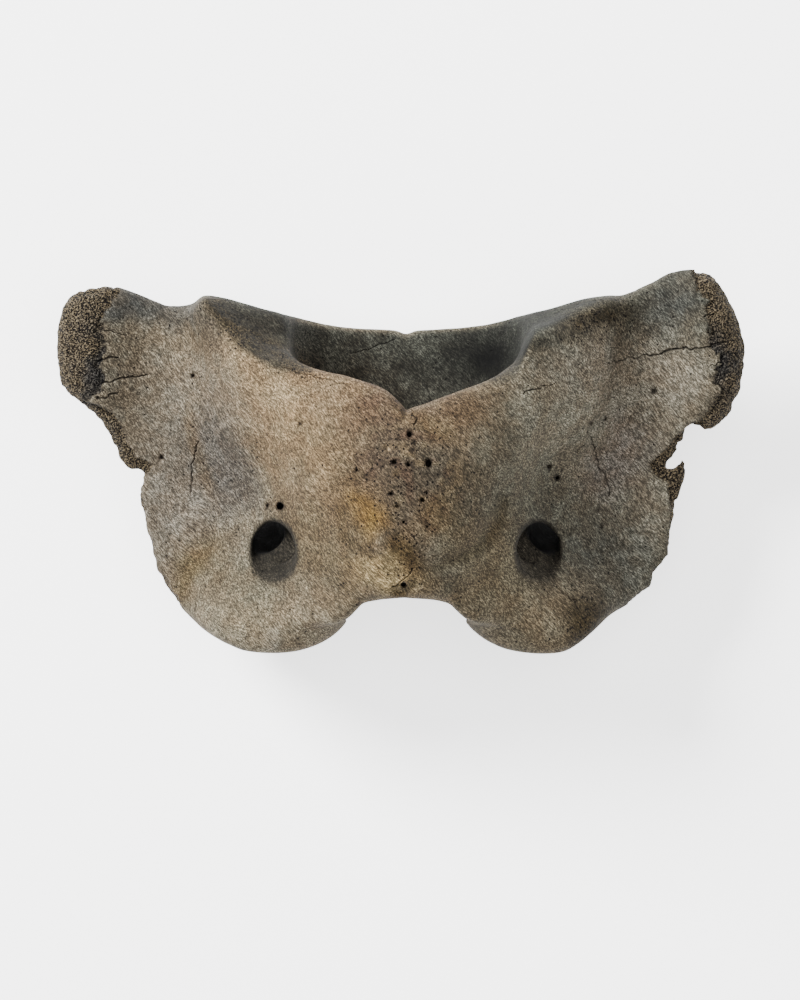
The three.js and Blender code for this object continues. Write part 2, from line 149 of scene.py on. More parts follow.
class EdgeMap:
    """Signed distance from the outline seen from above, kept on a map and read between its points."""

    def __init__(self):
        self.low, self.pitch = (-90.0, -52.0), 0.5
        high = (90.1, 54.1)
        xs = np.arange(self.low[0], high[0], self.pitch)
        ys = np.arange(self.low[1], high[1], self.pitch)
        gx, gy = np.meshgrid(xs, ys, indexing="ij")
        best = np.full(gx.shape, 1e9)
        inside = np.zeros(gx.shape, bool)
        line = outline()
        for a, b in zip(np.roll(line, 1, 0), line):
            ex, ey = b - a
            wx, wy = gx - a[0], gy - a[1]
            t = np.clip((wx * ex + wy * ey) / (ex * ex + ey * ey + 1e-12), 0, 1)
            best = np.minimum(best, (wx - ex * t) ** 2 + (wy - ey * t) ** 2)
            if ey != 0:
                inside ^= ((a[1] > gy) != (b[1] > gy)) & (gx < ex * wy / ey + a[0])
        self.map = np.where(inside, -1, 1) * np.sqrt(best)

    def __call__(self, x, y):
        fx = np.clip((x - self.low[0]) / self.pitch, 0, self.map.shape[0] - 1.001)
        fy = np.clip((y - self.low[1]) / self.pitch, 0, self.map.shape[1] - 1.001)
        i, j = fx.astype(int), fy.astype(int)
        tx, ty = fx - i, fy - j
        low = mix(self.map[i, j], self.map[i + 1, j], tx)
        high = mix(self.map[i, j + 1], self.map[i + 1, j + 1], tx)
        return mix(low, high, ty)


edge_distance = EdgeMap()


# Parts of the bone. u is the distance from the midline; by and bz are the bone's own length and height,
# along and across the canal, from the middle of the ring.


def ring(u, by, bz):
    """Ring of bone round the canal, with the broad tubercle on its dorsal arch."""
    under = np.clip(-bz / 20, 0, 1)
    half_width = mix(33.5 + 6 * step(5, 30, by), 33, under)
    half_height = np.where(bz > 0, 36.5 - 3.5 * step(2, 20, by) - 3 * step(-14, -28, by), 33)
    f = tube(u, bz, half_width, half_height, 1.75 + 0.55 * np.clip(0.5 - bz / 20, 0, 1))
    f = blend_max(f, np.abs(by) - 34, 4)
    return blend_min(f, ellipsoid(u, by, bz, (0, -9, 29.5), (15, 19, 9.5)), 7)


def cup_wall(u, y, z):
    """Walls of the two cups for the skull, with the lower rims that the bone rests on."""
    upper = ellipsoid(u, y, z, (27, -37, 24), (22.5, 17, 24.5))
    return blend_min(upper, ellipsoid(u, y, z, (19, -25, 10.5), (13, 11, 11.2)), 8)


def buttress(x, u, y, z):
    """Carries each joint face for the next vertebra, with the crest up to its outer corner."""
    right = step(-8, 8, x)
    pillar = ellipsoid(u, y, z, (33, 20, 30), (15, 22, 24))
    crest = rod(u, y, z, (14, 2, 58), (42.5, 36, 44 - 4.5 * right), 10, 6 + 1.5 * right)
    return blend_min(pillar, crest, 10)


def ventral_tubercle(x, by, bz):
    return ellipsoid(x, by, bz, (0, 18, -31), (10, 13, 8.6))


def caudal_face(x, u, y, z):
    """Sloping surface at the tail end, with the joint faces at its sides and the notch in the arch."""
    share = np.minimum(u / 47, 1)
    margin = 32.4 + 6.8 * share**2.3
    turn = 21 + 27 * share**2.4
    left = 0.295 + 0.18 * step(12, 44, u)
    right = 0.37 - 0.22 * step(24, 30, u)
    lean = mix(left, right, step(-6, 6, x))
    notch = 5.6 * np.exp(-u / 5.5) * step(44, 54, z)
    return (y - margin + notch + lean * np.maximum(0, z - turn) + 0.04 * np.maximum(0, turn - z)) * 0.95


def cranial_face(y, z):
    """Sloping surface across the rims of the two cups."""
    return (0.26 * (46 - z) - (y + 46)) * 0.97


def corner_share(u, y):
    """How near a place is to the thick outer corner of the wing next to the tail, 0 to 1."""
    return step(60, 74, u) * step(2, 18, y)


def wing(u, y, z, edge):
    """Plate of the wing, thinner at its edge. The outline is cut out of it later."""
    corner = corner_share(u, y)
    middle = 30 + 0.14 * y + 2 * corner - 3.2 * bump(u, 50, 12) * step(-40, 0, y)
    half = 2.6 + 1.5 * step(0, 16, -edge) + 3 * corner + 2.6 * step(48, 34, u) + 1.5 * bump(y, 38, 12)
    return np.abs(z - middle) - half


def canal(u, by, bz):
    """Canal for the spinal cord, wider at both ends."""
    floor = -17.5 - 1.5 * step(10, 30, by)
    roof = 25 + step(5, 20, by) - 20 * step(-30, -38, by)
    half_width = 21.5 + 5.5 * step(2, 34, by) + 3 * step(-26, -38, by)
    return tube(u, bz - (floor + roof) / 2, half_width, (roof - floor) / 2, 2.3)


def cup_hollow(u, y, z):
    return ellipsoid(u, y, z, (23.5, -44, 20), (20, 18.5, 18))


def ventral_notch(x, y, z):
    return rod(x, y, z, (0, -33, 0), (0, -37, 22), 9, 9)


def wing_fossa(u, y, z):
    return ellipsoid(u, y, z, (45, 4, 10), (17, 27, 16))


def alar_hollow(u, y, z):
    """Oval pit on each side, with one hole to the underside and a smaller one into the canal."""
    oval = (np.hypot((u - 30.4) / 5.1, (y + 20.7) / 6.9) - 1) * 5.1
    floor = 39 - 1.2 * (y + 20.7) - (u - 30.4)
    pit = blend_max(oval, (floor - z) * 0.54, 3)
    wing_hole = rod(u, y, z, (31.8, -17.4, 34), (38.6, -3, 13), 3.3, 3.6)
    nerve_hole = rod(u, y, z, (28.5, -20, 41.5), (16, -15, 42), 2.8, 2.8)
    return blend_min(blend_min(pit, wing_hole, 2), nerve_hole, 2)


def bone_frame(y, z):
    """The bone's own length and height, by and bz."""
    cos, sin = math.cos(REST_TILT), math.sin(REST_TILT)
    return y * cos + (z - CANAL_HEIGHT) * sin, -y * sin + (z - CANAL_HEIGHT) * cos


def bone(x, y, z):
    """Field of the whole bone as in the part's source, negative inside."""
    u = np.abs(x)
    by, bz = bone_frame(y, z)
    edge = edge_distance(x, y)
    f = blend_min(ring(u, by, bz), cup_wall(u, y, z), 9)
    f = blend_min(f, buttress(x, u, y, z), 9)
    f = blend_min(f, ventral_tubercle(x, by, bz), 6)
    f = blend_max(f, caudal_face(x, u, y, z), 3)
    f = blend_max(f, cranial_face(y, z), 3)
    f = blend_min(f, wing(u, y, z, edge), 12)
    f = blend_max(f, edge, 3.5 + 4.5 * corner_share(u, y))
    f = blend_max(f, -canal(u, by, bz), 3)
    f = blend_max(f, -cup_hollow(u, y, z), 3)
    f = blend_max(f, -ventral_notch(x, y, z), 3)
    f = blend_max(f, -wing_fossa(u, y, z), 8)
    f = blend_max(f, -alar_hollow(u, y, z), 1.2)
    return blend_max(f, -z, 0.8)


# Wear and fine shape
LATTICE_SIZE = 64
LATTICE = np.random.default_rng(7).random((LATTICE_SIZE,) * 3)


def noise(x, y, z, size, seed):
    """Smooth random values from 0 to 1, in lumps of about that size."""
    cells, parts = [], []
    for n, v in enumerate((x, y, z)):
        q = v / size + 17.3 * seed + 5.1 * n
        i = np.floor(q).astype(int)
        t = q - i
        cells.append((i % LATTICE_SIZE, (i + 1) % LATTICE_SIZE))
        parts.append(t * t * (3 - 2 * t))
    total = 0
    for a in (0, 1):
        for b in (0, 1):
            for c in (0, 1):
                weight = (parts[0] if a else 1 - parts[0]) * (parts[1] if b else 1 - parts[1])
                weight = weight * (parts[2] if c else 1 - parts[2])
                total = total + weight * LATTICE[cells[0][a], cells[1][b], cells[2][c]]
    return total


def at_px(px, py):
    """Place in the drawing of a point of the photograph."""
    return (px - MIDLINE_PX) * PIXEL, (ZERO_PY - py) * PIXEL


def to_px(x, y):
    """Point of the photograph that shows a place of the drawing."""
    return x / PIXEL + MIDLINE_PX, ZERO_PY - y / PIXEL


def from_line(x, y, line):
    """Distance from a line of points, seen from above."""
    nearest = np.full(x.shape, 999.0)
    for (ax, ay), (bx, by) in zip(line, line[1:]):
        way = np.array([bx - ax, by - ay])
        t = np.clip(((x - ax) * way[0] + (y - ay) * way[1]) / (way @ way), 0, 1)
        nearest = np.minimum(nearest, np.hypot(x - ax - way[0] * t, y - ay - way[1] * t))
    return nearest


# Inner limits of the broken spongy ends of the wings, as points of the photograph
LEFT_END = [(124, 280), (118, 295), (103, 326), (108, 350), (100, 366), (103, 384), (92, 400), (70, 415)]
RIGHT_END = [
    (688, 262), (692, 280), (694, 293), (704, 301), (704, 316), (709, 334), (706, 344), (719, 357),
    (718, 372), (713, 383), (719, 389), (715, 402), (704, 417), (689, 428), (680, 436),
]


def broken_reach(x, y, z):
    """Millimetres from the torn limit of the smooth skin, more than 0 where the skin is broken off."""
    rough = 3.2 * (noise(x, y, z, 2.2, 1) - 0.5) + 1.8 * (noise(x, y, z, 0.9, 2) - 0.5)
    whole = -9  # well within the smooth skin
    # the spongy ends of the wings, from their inner limits outwards
    left_x, left_y = np.array([at_px(*p) for p in LEFT_END[::-1]]).T
    right_x, right_y = np.array([at_px(*p) for p in RIGHT_END[::-1]]).T
    end = np.where(x < 0, np.interp(y, left_y, left_x) - x, x - np.interp(y, right_y, right_x))
    end = np.where(y > np.where(x < 0, 13.5, 6.8), end, whole)
    # the worn rim along the wings' side edges
    width = np.where(x < 0, 1.3 + 2.4 * step(-3, 0, y) * step(15, 12, y), 1.2 + 2.6 * bump(y, -1, 7))
    width = width * step(42, 50, np.abs(x)) * step(-35, -31, y) * step(38, 30, y)
    rim = np.where(np.abs(x) > 52, width + edge_distance(x, y), whole)
    return np.maximum(end + rough, rim + 0.45 * rough)


# Blood vessel holes: place and radius of their dark marks in the photograph, in its pixels
VESSEL_HOLES = [
    (427, 465, 4.2), (409, 437, 3.0), (412, 453, 2.0), (394, 463, 2.4), (396, 477, 1.6),
    (408, 466, 2.4), (405, 495, 2.0), (385, 448, 1.8), (399, 441, 1.6), (422, 500, 2.4),
    (397, 506, 1.8), (391, 494, 2.2), (404, 521, 2.0), (426, 526, 1.6), (425, 493, 1.6),
    (414, 445, 1.6), (358, 471, 1.8), (365, 477, 1.4), (282, 506, 4.6), (269, 505, 2.0),
    (547, 467, 1.9), (556, 478, 2.6), (654, 391, 2.4), (194, 376, 2.0), (403, 582, 3.0),
    (303, 426, 1.5), (589, 424, 1.4), (604, 419, 1.3), (161, 457, 1.6), (220, 580, 1.3),
    (599, 511, 1.3), (602, 527, 1.2),
]


def vessel_holes(x, y, z):
    """Distance from the wall of the nearest blood vessel hole, negative inside the hole."""
    f = np.full(x.shape, 9.0)
    for px, py, radius in VESSEL_HOLES:
        cx, cy = at_px(px, py)
        near = (np.abs(x - cx) < 3) & (np.abs(y - cy) < 3) & (z > 30)
        if near.any():
            ragged = 0.5 * (noise(x[near], y[near], z[near], 0.9, 31) - 0.5)
            away = np.hypot(x[near] - cx, y[near] - cy) + ragged
            f[near] = np.minimum(f[near], away - HOLE_SHARE * radius * PIXEL)
    return f


# Shallow grooves: half width and depth in millimetres, and their lines of points of the photograph
FURROWS = [
    (1.7, 0.95, [(499, 500), (496, 518), (482, 540), (458, 556), (430, 568)]),
    (1.3, 0.60, [(345, 512), (350, 538), (374, 556), (396, 574)]),
    (1.1, 1.20, [(396, 587), (404, 588), (414, 580)]),
    (2.6, 0.60, [(416, 560), (430, 574), (450, 580)]),
    (1.6, 0.40, [(560, 330), (585, 325), (606, 322)]),
    (1.3, 0.45, [(232, 330), (246, 346), (264, 356)]),
]


def furrows(x, y, z):
    """Depth of the grooves in the upper side."""
    deep = np.zeros(x.shape)
    for width, depth, line in FURROWS:
        away = from_line(x, y, [at_px(*p) for p in line])
        deep = np.maximum(deep, depth * bump(away, 0, width))
    return deep * step(30, 34, z)


def skin_broken(reach):
    """1 where the skin is broken off and 0 where it is whole, from the distance to its torn limit."""
    return step(-0.25, 0.25, reach)


def worn_bone(x, y, z):
    """Field of the bone with waves, the torn skin's lip, open sponge, grooves and vessel holes."""
    f = bone(x, y, z)
    reach = broken_reach(x, y, z)
    f = f + 0.40 * bump(reach, 0.6, 0.6)
    f = f + 0.20 * (noise(x, y, z, 9, 3) - 0.5) + 0.14 * (noise(x, y, z, 3.4, 4) - 0.5) + 0.10
    gaps = 0.8 * noise(x, y, z, 1.5, 5) * noise(x, y, z, 2.6, 6)
    f = f + skin_broken(reach) * (gaps + 0.35 * noise(x, y, z, 0.8, 7) - 0.05)
    f = f + furrows(x, y, z)
    holes = blend_max(vessel_holes(x, y, z), -(f + HOLE_DEPTH), 0.5)
    return blend_max(f, -holes, 0.25)


def surface_net(values, low, pitch):
    """Closed surface of quads where the values change sign on a regular grid."""
    inside = values < 0
    cell = tuple(n - 1 for n in values.shape)
    corners = [(a, b, c) for a in (0, 1) for b in (0, 1) for c in (0, 1)]

    def part(array, offset):
        return array[tuple(slice(o, o + n) for o, n in zip(offset, cell))]

    count = sum(part(inside, offset).astype(np.uint8) for offset in corners)
    active = (count > 0) & (count < 8)
    index = np.full(cell, -1, np.int64)
    cells = np.argwhere(active)
    index[active] = np.arange(len(cells))
    total = np.zeros((len(cells), 3))
    hits = np.zeros(len(cells))
    for a in corners:
        for axis in range(3):
            if a[axis]:
                continue
            b = tuple(1 if n == axis else v for n, v in enumerate(a))
            va = values[tuple((cells + a).T)]
            vb = values[tuple((cells + b).T)]
            cross = (va < 0) != (vb < 0)
            place = np.tile(np.array(a, float), (len(cells), 1))
            place[:, axis] += va / np.where(cross, va - vb, 1)
            total[cross] += place[cross]
            hits += cross
    points = np.array(low) + (cells + total / hits[:, None]) * pitch
    faces = []
    for axis in range(3):
        u, v = (axis + 1) % 3, (axis + 2) % 3
        ahead = np.roll(inside, -1, axis)
        change = inside != ahead
        for n in range(3):
            trim = [slice(None)] * 3
            trim[n] = slice(-1, None)
            change[tuple(trim)] = False
            trim[n] = slice(0, 1)
            if n != axis:
                change[tuple(trim)] = False
        spots = np.argwhere(change)
        back_u, back_v = np.eye(3, dtype=int)[u], np.eye(3, dtype=int)[v]
        ring4 = [spots - back_u - back_v, spots - back_v, spots, spots - back_u]
        quad = np.stack([index[tuple(c.T)] for c in ring4], 1)
        out = inside[tuple(spots.T)]
        faces.append(np.where(out[:, None], quad, quad[:, ::-1]))
    return points, np.concatenate(faces)


def settle(points, turns=3, reach=0.12):
    """Moves points onto the worn surface."""
    for _ in range(turns):
        f = worn_bone(*points.T)
        rise = [worn_bone(*(points + d).T) - worn_bone(*(points - d).T) for d in np.eye(3) * reach]
        slope = np.stack(rise, 1) / (2 * reach)
        shift = f[:, None] * slope / (np.sum(slope**2, 1, keepdims=True) + 0.05)
        size = np.linalg.norm(shift, axis=1, keepdims=True) + 1e-9
        points = points - shift * np.minimum(1, 0.5 * GRID / size)
    return points


def main_piece(points, faces):
    """Drops crumbs that don't touch the bone."""
    label = np.arange(len(points))
    a, b = faces[:, [0, 1, 2, 3]].ravel(), faces[:, [1, 2, 3, 0]].ravel()
    while True:
        low = np.minimum(label[a], label[b])
        fresh = label.copy()
        np.minimum.at(fresh, a, low)
        np.minimum.at(fresh, b, low)
        fresh = fresh[fresh]
        if (fresh == label).all():
            break
        label = fresh
    names, sizes = np.unique(label, return_counts=True)
    keep = label == names[sizes.argmax()]
    renumber = np.cumsum(keep) - 1
    faces = faces[keep[faces[:, 0]]]
    return points[keep], renumber[faces]


def sampled_surface():
    """Surface of the worn bone on the grid. Away from the surface the plain bone gives the field."""
    low = np.array([-83.0, -46.5, -1.3])
    counts = [int(math.ceil(size / GRID)) + 1 for size in (164.5, 93.5, 79)]
    xs, ys, zs = [low[n] + GRID * np.arange(counts[n]) for n in range(3)]
    values = np.empty(counts, np.float32)
    block = 24
    for start in range(0, counts[0], block):
        x, y, z = np.meshgrid(xs[start:start + block], ys, zs, indexing="ij")
        f = bone(x, y, z)
        near = np.abs(f) < WEAR_BAND
        f[near] = worn_bone(x[near], y[near], z[near])
        values[start:start + block] = f
    values[values == 0] = 1e-6
    return surface_net(values, low, GRID)


def set_points(mesh, points):
    """Puts points of the drawing into a mesh, in metres from the part's origin."""
    mesh.vertices.foreach_set("co", ((points - DRAWING_CENTRE) / 1000).astype(np.float32).ravel())


def mesh_object(name, points, faces):
    mesh = bpy.data.meshes.new(name)
    mesh.vertices.add(len(points))
    set_points(mesh, points)
    mesh.loops.add(faces.size)
    mesh.loops.foreach_set("vertex_index", faces.astype(np.int32).ravel())
    mesh.polygons.add(len(faces))
    mesh.polygons.foreach_set("loop_start", np.arange(0, faces.size, 4, dtype=np.int32))
    mesh.polygons.foreach_set("use_smooth", np.ones(len(faces), bool))
    mesh.update(calc_edges=True)
    mesh.validate()
    thing = bpy.data.objects.new(name, mesh)
    bpy.context.collection.objects.link(thing)
    return thing


def worn_bone_object():
    points, faces = main_piece(*sampled_surface())
    points = settle(points)
    points[:, 2] = np.maximum(points[:, 2], 0)
    return mesh_object("atlas_bone", points, faces)


# Cracks: half width of their dark marks in millimetres, and their lines of points of the photograph
CRACKS = [
    (0.50, [(722, 344), (704, 349), (690, 350), (671, 350), (660, 354), (648, 356)]),
    (0.26, [(648, 356), (630, 358), (607, 364)]),
    (0.28, [(590, 438), (594, 450), (600, 468), (607, 480), (610, 494)]),
    (0.32, [(577, 453), (579, 448), (584, 446)]),
    (0.46, [(104, 384), (120, 381), (130, 379), (148, 376)]),
    (0.28, [(92, 325), (112, 332), (130, 337)]),
    (0.42, [(98, 399), (110, 397), (118, 393)]),
    (0.38, [(100, 362), (112, 360), (121, 358)]),
    (0.30, [(411, 413), (415, 420), (414, 428)]),
    (0.24, [(285, 372), (330, 383), (352, 388)]),
    (0.24, [(520, 396), (538, 390), (552, 386)]),
    (0.16, [(350, 352), (376, 346), (396, 336)]),
    (0.32, [(700, 318), (712, 315)]),
    (0.28, [(708, 366), (720, 364)]),
    (0.30, [(190, 492), (192, 470), (193, 455), (199, 441)]),
    (0.30, [(392, 584), (404, 578), (414, 566)]),
    (0.24, [(555, 585), (568, 596), (576, 600)]),
]


def crack_distance(x, y, z):
    """Distance from the nearest crack, as a share of its half width, seen from above."""
    wx = x + 0.9 * (noise(x, y, z, 1.6, 21) - 0.5) + 0.4 * (noise(x, y, z, 0.6, 23) - 0.5)
    wy = y + 0.9 * (noise(x, y, z, 1.6, 22) - 0.5) + 0.4 * (noise(x, y, z, 0.6, 24) - 0.5)
    lines = [(width, [at_px(*p) for p in line]) for width, line in CRACKS]
    shares = [from_line(wx, wy, line) / (CRACK_SHARE * width) for width, line in lines]
    return np.minimum.reduce(shares)


def vectors(mesh, field):
    """The mesh's points or normals, as rows."""
    flat = np.empty(len(mesh.vertices) * 3, np.float32)
    mesh.vertices.foreach_get(field, flat)
    return flat.reshape(-1, 3).astype(float)


def open_cracks(mesh):
    """Splits the faces near the cracks finely, then presses the cracks in.

    Gives the points of the drawing before the pressing, and how far each is inside a crack, 0 to 1.
    """
    work = bmesh.new()
    work.from_mesh(mesh)
    work.faces.ensure_lookup_table()
    centres = np.array([face.calc_center_median() for face in work.faces]) * 1000 + DRAWING_CENTRE
    upward = np.array([face.normal.z for face in work.faces])
    near = crack_distance(*centres.T) < CRACK_BAND
    chosen = np.where(near & (upward > 0.1) & (centres[:, 2] > CRACK_FLOOR))[0]
    edges = {edge for n in chosen for edge in work.faces[n].edges}
    bmesh.ops.subdivide_edges(work, edges=list(edges), cuts=3, use_grid_fill=True)
    work.to_mesh(mesh)
    work.free()
    points = vectors(mesh, "co") * 1000 + DRAWING_CENTRE
    normal = vectors(mesh, "normal")
    split = step(1.0, 0.15, crack_distance(*points.T)) * step(0.0, 0.3, normal[:, 2])
    split = split * (points[:, 2] > CRACK_FLOOR)
    set_points(mesh, points - CRACK_DEPTH * split[:, None] * normal)
    mesh.update()
    return points, split


# Colours
SATURATION = 1.2
BRIGHTNESS = 0.195


def srgb(r, g, b):
    """Surface colour that shows about as this 0 to 255 screen colour once lit and toned."""
    linear = np.array([((v / 255 + 0.055) / 1.055) ** 2.4 for v in (r, g, b)])
    grey = linear.mean()
    return np.maximum(grey + SATURATION * (linear - grey), 0.002) * BRIGHTNESS


# Broad stains, with painted light and shade among them: place in the photograph, reach in its pixels across
# and along, turn in degrees, colour and strength
STAINS_AND_PAINTED_LIGHT = [
    (290, 415, 95, 55, 35, (184, 160, 128), 0.9),
    (345, 470, 55, 90, 0, (146, 128, 103), 0.8),
    # painted highlight along the ridge running down from the left corner
    (266, 382, 58, 14, 53, (196, 174, 142), 0.6),
    (360, 396, 56, 26, 10, (166, 144, 118), 0.8),
    (398, 425, 40, 20, 0, (136, 112, 92), 0.7),
    (404, 475, 44, 46, 0, (98, 89, 78), 0.85),
    (467, 420, 45, 36, -20, (138, 122, 100), 0.8),
    (452, 410, 26, 18, 0, (128, 108, 88), 0.5),
    (364, 512, 20, 12, 20, (166, 136, 84), 0.85),
    (345, 500, 20, 22, 0, (120, 98, 74), 0.5),
    (424, 424, 16, 9, 0, (128, 108, 80), 0.5),
    (440, 520, 16, 16, 0, (132, 104, 68), 0.6),
    (456, 498, 26, 34, 20, (110, 98, 80), 0.75),
    (402, 552, 14, 18, 0, (96, 76, 48), 0.85),
    (380, 574, 34, 14, 15, (212, 188, 146), 0.85),
    (318, 552, 38, 42, 0, (118, 104, 82), 0.8),
    (180, 480, 50, 90, 20, (154, 146, 134), 0.8),
    (165, 385, 50, 36, 0, (158, 148, 132), 0.7),
    # painted shade in the trough of the left wing
    (232, 476, 22, 34, -20, (116, 109, 100), 0.7),
    (192, 447, 8, 34, -10, (140, 114, 74), 0.5),
    (192, 568, 20, 40, 30, (116, 98, 68), 0.8),
    (290, 625, 70, 28, 0, (166, 153, 131), 0.75),
    (266, 636, 12, 8, 0, (196, 190, 174), 0.6),
    (240, 590, 30, 36, 0, (134, 126, 106), 0.6),
    (622, 385, 74, 44, 0, (178, 168, 151), 0.9),
    (640, 480, 56, 70, 0, (166, 158, 141), 0.9),
    (612, 456, 34, 34, 30, (176, 164, 154), 0.7),
    (600, 570, 60, 50, 0, (126, 125, 116), 0.8),
    (530, 612, 60, 36, 0, (154, 141, 119), 0.85),
    (585, 622, 18, 22, 20, (60, 53, 38), 0.8),
    (675, 303, 34, 32, 0, (80, 81, 78), 0.75),
    (500, 455, 30, 60, 0, (136, 130, 114), 0.7),
    (488, 560, 34, 36, 0, (152, 139, 114), 0.7),
    (560, 424, 36, 38, 0, (166, 159, 141), 0.8),
    (372, 402, 16, 10, 0, (104, 82, 72), 0.5),
    (366, 466, 12, 12, 0, (96, 76, 68), 0.45),
    (432, 470, 14, 22, 20, (88, 84, 76), 0.5),
    (702, 404, 16, 28, 0, (122, 112, 96), 0.6),
    (470, 408, 34, 16, -20, (120, 104, 86), 0.5),
    (212, 452, 30, 40, -20, (112, 108, 104), 0.45),
    (115, 300, 30, 20, 0, (96, 97, 95), 0.7),
    (160, 308, 44, 14, 0, (96, 97, 95), 0.75),
    (215, 322, 20, 26, 0, (98, 92, 82), 0.65),
    (400, 600, 60, 12, 0, (146, 128, 102), 0.6),
]


# Where the warm left side turns into the greyer right one, in pixels across the photograph
WARM_END, GREY_START = 330, 520
# How far down the photograph the soot on each wing's end lies, and its reach
LEFT_SOOT = (372, 46)
RIGHT_SOOT = (362, 34)
# Ovals of the photograph: middle, and reach across and along, in its pixels
KNOB_STAINS = (412, 470), (46, 66)
KNOB_PORES = (408, 480), (42, 48)
PORE_CLUSTER = (404, 550), (11, 15)
MOSS = (585, 622), (18, 26)
# painted shade on the left joint face and in the left pit, painted light in the right pit, painted shadow in
# the canal's recess
LEFT_FACE = (258, 330), (42, 24)
LEFT_PIT = (276, 550), (30, 36)
RIGHT_PIT = (532, 566), (26, 18)
CANAL_RECESS = (490, 358), (46, 32)
# Lines of the photograph: the right joint face, and the porous rims of the left and the right one
RIGHT_FACE_LINE = [(540, 334), (575, 322), (600, 306)]
LEFT_RIM_LINE = [(216, 308), (244, 338), (276, 354), (306, 368)]
RIGHT_RIM_LINE = [(574, 328), (592, 321), (612, 316)]


def oval(px, py, place, fall=1.0, power=1.0):
    """1 in the middle of an oval of the photograph, and falling to 0 beyond its reach."""
    (cx, cy), (rx, ry) = place
    far = ((px - cx) / rx) ** 2 + ((py - cy) / ry) ** 2
    return np.exp(-fall * far**power)


def tint(x, y, z):
    """Colour of the upper side without its fine streaks, with painted shade in grooves and a trough and a
    painted highlight on a ridge, and the plain colour of the underside.
    """
    px, py = to_px(x, y)
    drift = noise(x, y, z, 11, 11) - 0.5
    drift2 = noise(x, y, z, 5, 12) - 0.5
    left, right, under = srgb(150, 141, 124), srgb(121, 117, 103), srgb(150, 138, 116)
    colour = mix(left, right, step(WARM_END, GREY_START, px + 60 * drift)[:, None])
    for cx, cy, rx, ry, turn, shade, strength in STAINS_AND_PAINTED_LIGHT:
        c, s = math.cos(math.radians(turn)), math.sin(math.radians(turn))
        dx, dy = px - cx + 26 * drift + 10 * drift2, py - cy + 26 * drift2 + 10 * drift
        far = ((dx * c + dy * s) / rx) ** 2 + ((dy * c - dx * s) / ry) ** 2
        weight = strength * np.exp(-0.5 * far**1.6)
        colour = mix(colour, srgb(*shade), weight[:, None])
    # painted shade along the grooves, deeper where they are deeper
    colour = mix(colour, srgb(84, 74, 56), (0.5 * np.clip(furrows(x, y, z) / 0.8, 0, 1))[:, None])
    halo = bump(np.maximum(vessel_holes(x, y, z), 0), 0, 0.38)
    colour = mix(colour, srgb(66, 54, 44), 0.5 * halo[:, None])
    knob = oval(px, py, KNOB_STAINS)
    blotch = knob * step(0.52, 0.68, noise(x, y, z, 2.8, 16))
    vein = knob * step(0.56, 0.70, noise(x, y, z, 2.0, 17))
    colour = mix(colour, srgb(92, 72, 62), 0.65 * blotch[:, None])
    colour = mix(colour, srgb(168, 150, 122), 0.6 * vein[:, None])
    return colour, under


def painted_hollow_light_and_shade(px, py):
    """Painted shade and light of the joint faces, canal and pits, as a share of their colour: shade on the
    left face, in the left pit and in the canal's recess, light in the right pit.
    """
    share = 1 - 0.32 * oval(px, py, LEFT_FACE) - 0.5 * oval(px, py, LEFT_PIT) + 1.6 * oval(px, py, RIGHT_PIT)
    return share * (1 - 0.95 * oval(px, py, CANAL_RECESS))


def inner_mask(x, y, z, upward):
    """1 in the canal and on the two joint faces for the next vertebra, which are darker and greener."""
    u = np.abs(x)
    by, bz = bone_frame(y, z)
    steep = step(0.80, 0.60, upward + 0.25 * (noise(x, y, z, 2.5, 15) - 0.5))
    tunnel = step(-1.6, -0.2, -np.abs(canal(u, by, bz))) * step(36, 31, np.abs(by))
    tunnel = tunnel * np.where(z > 42, steep, 1)
    side = u + 9 * (noise(x, y, z, 6, 19) - 0.5)
    face = step(-2.0, -0.4, caudal_face(x, u, y, z)) * step(51, 43, side) * step(19, 28, side)
    ragged = 10 * (noise(x, y, z, 3, 18) - 0.5)
    right_face = step(24, 14, from_line(*to_px(x, y), RIGHT_FACE_LINE) + ragged)
    return np.maximum.reduce([tunnel, face, 0.55 * right_face * step(-0.1, 0.3, upward)])


def soot_mask(x, y, z, reach):
    """1 where the sponge of the wings' ends is black, next to the torn limit of the skin."""
    py = to_px(x, y)[1]
    left = bump(py, *LEFT_SOOT) * step(9, 2, reach)
    right = bump(py, *RIGHT_SOOT) * step(5, 1, reach)
    return np.where(x < 0, left, right) * step(0.3, 0.55, noise(x, y, z, 4, 14))


def porous_mask(px, py, upward):
    """1 where the upper side is full of pores: joint faces' rims, knob, cluster and moss."""
    rim_left = bump(from_line(px, py, LEFT_RIM_LINE), 0, 13)
    rim_right = bump(from_line(px, py, RIGHT_RIM_LINE), 0, 15)
    knob = oval(px, py, KNOB_PORES, 0.5, 1.5)
    cluster = oval(px, py, PORE_CLUSTER, 0.5)
    moss = oval(px, py, MOSS, 0.5, 1.5)
    most = np.maximum.reduce([rim_left, rim_right, 0.3 * knob, cluster, 0.9 * moss])
    return np.clip(most, 0, 1) * step(-0.1, 0.3, upward)


def store(mesh, name, kind, field, values):
    attribute = mesh.attributes.new(name, kind, "POINT")
    attribute.data.foreach_set(field, values.astype(np.float32).ravel())


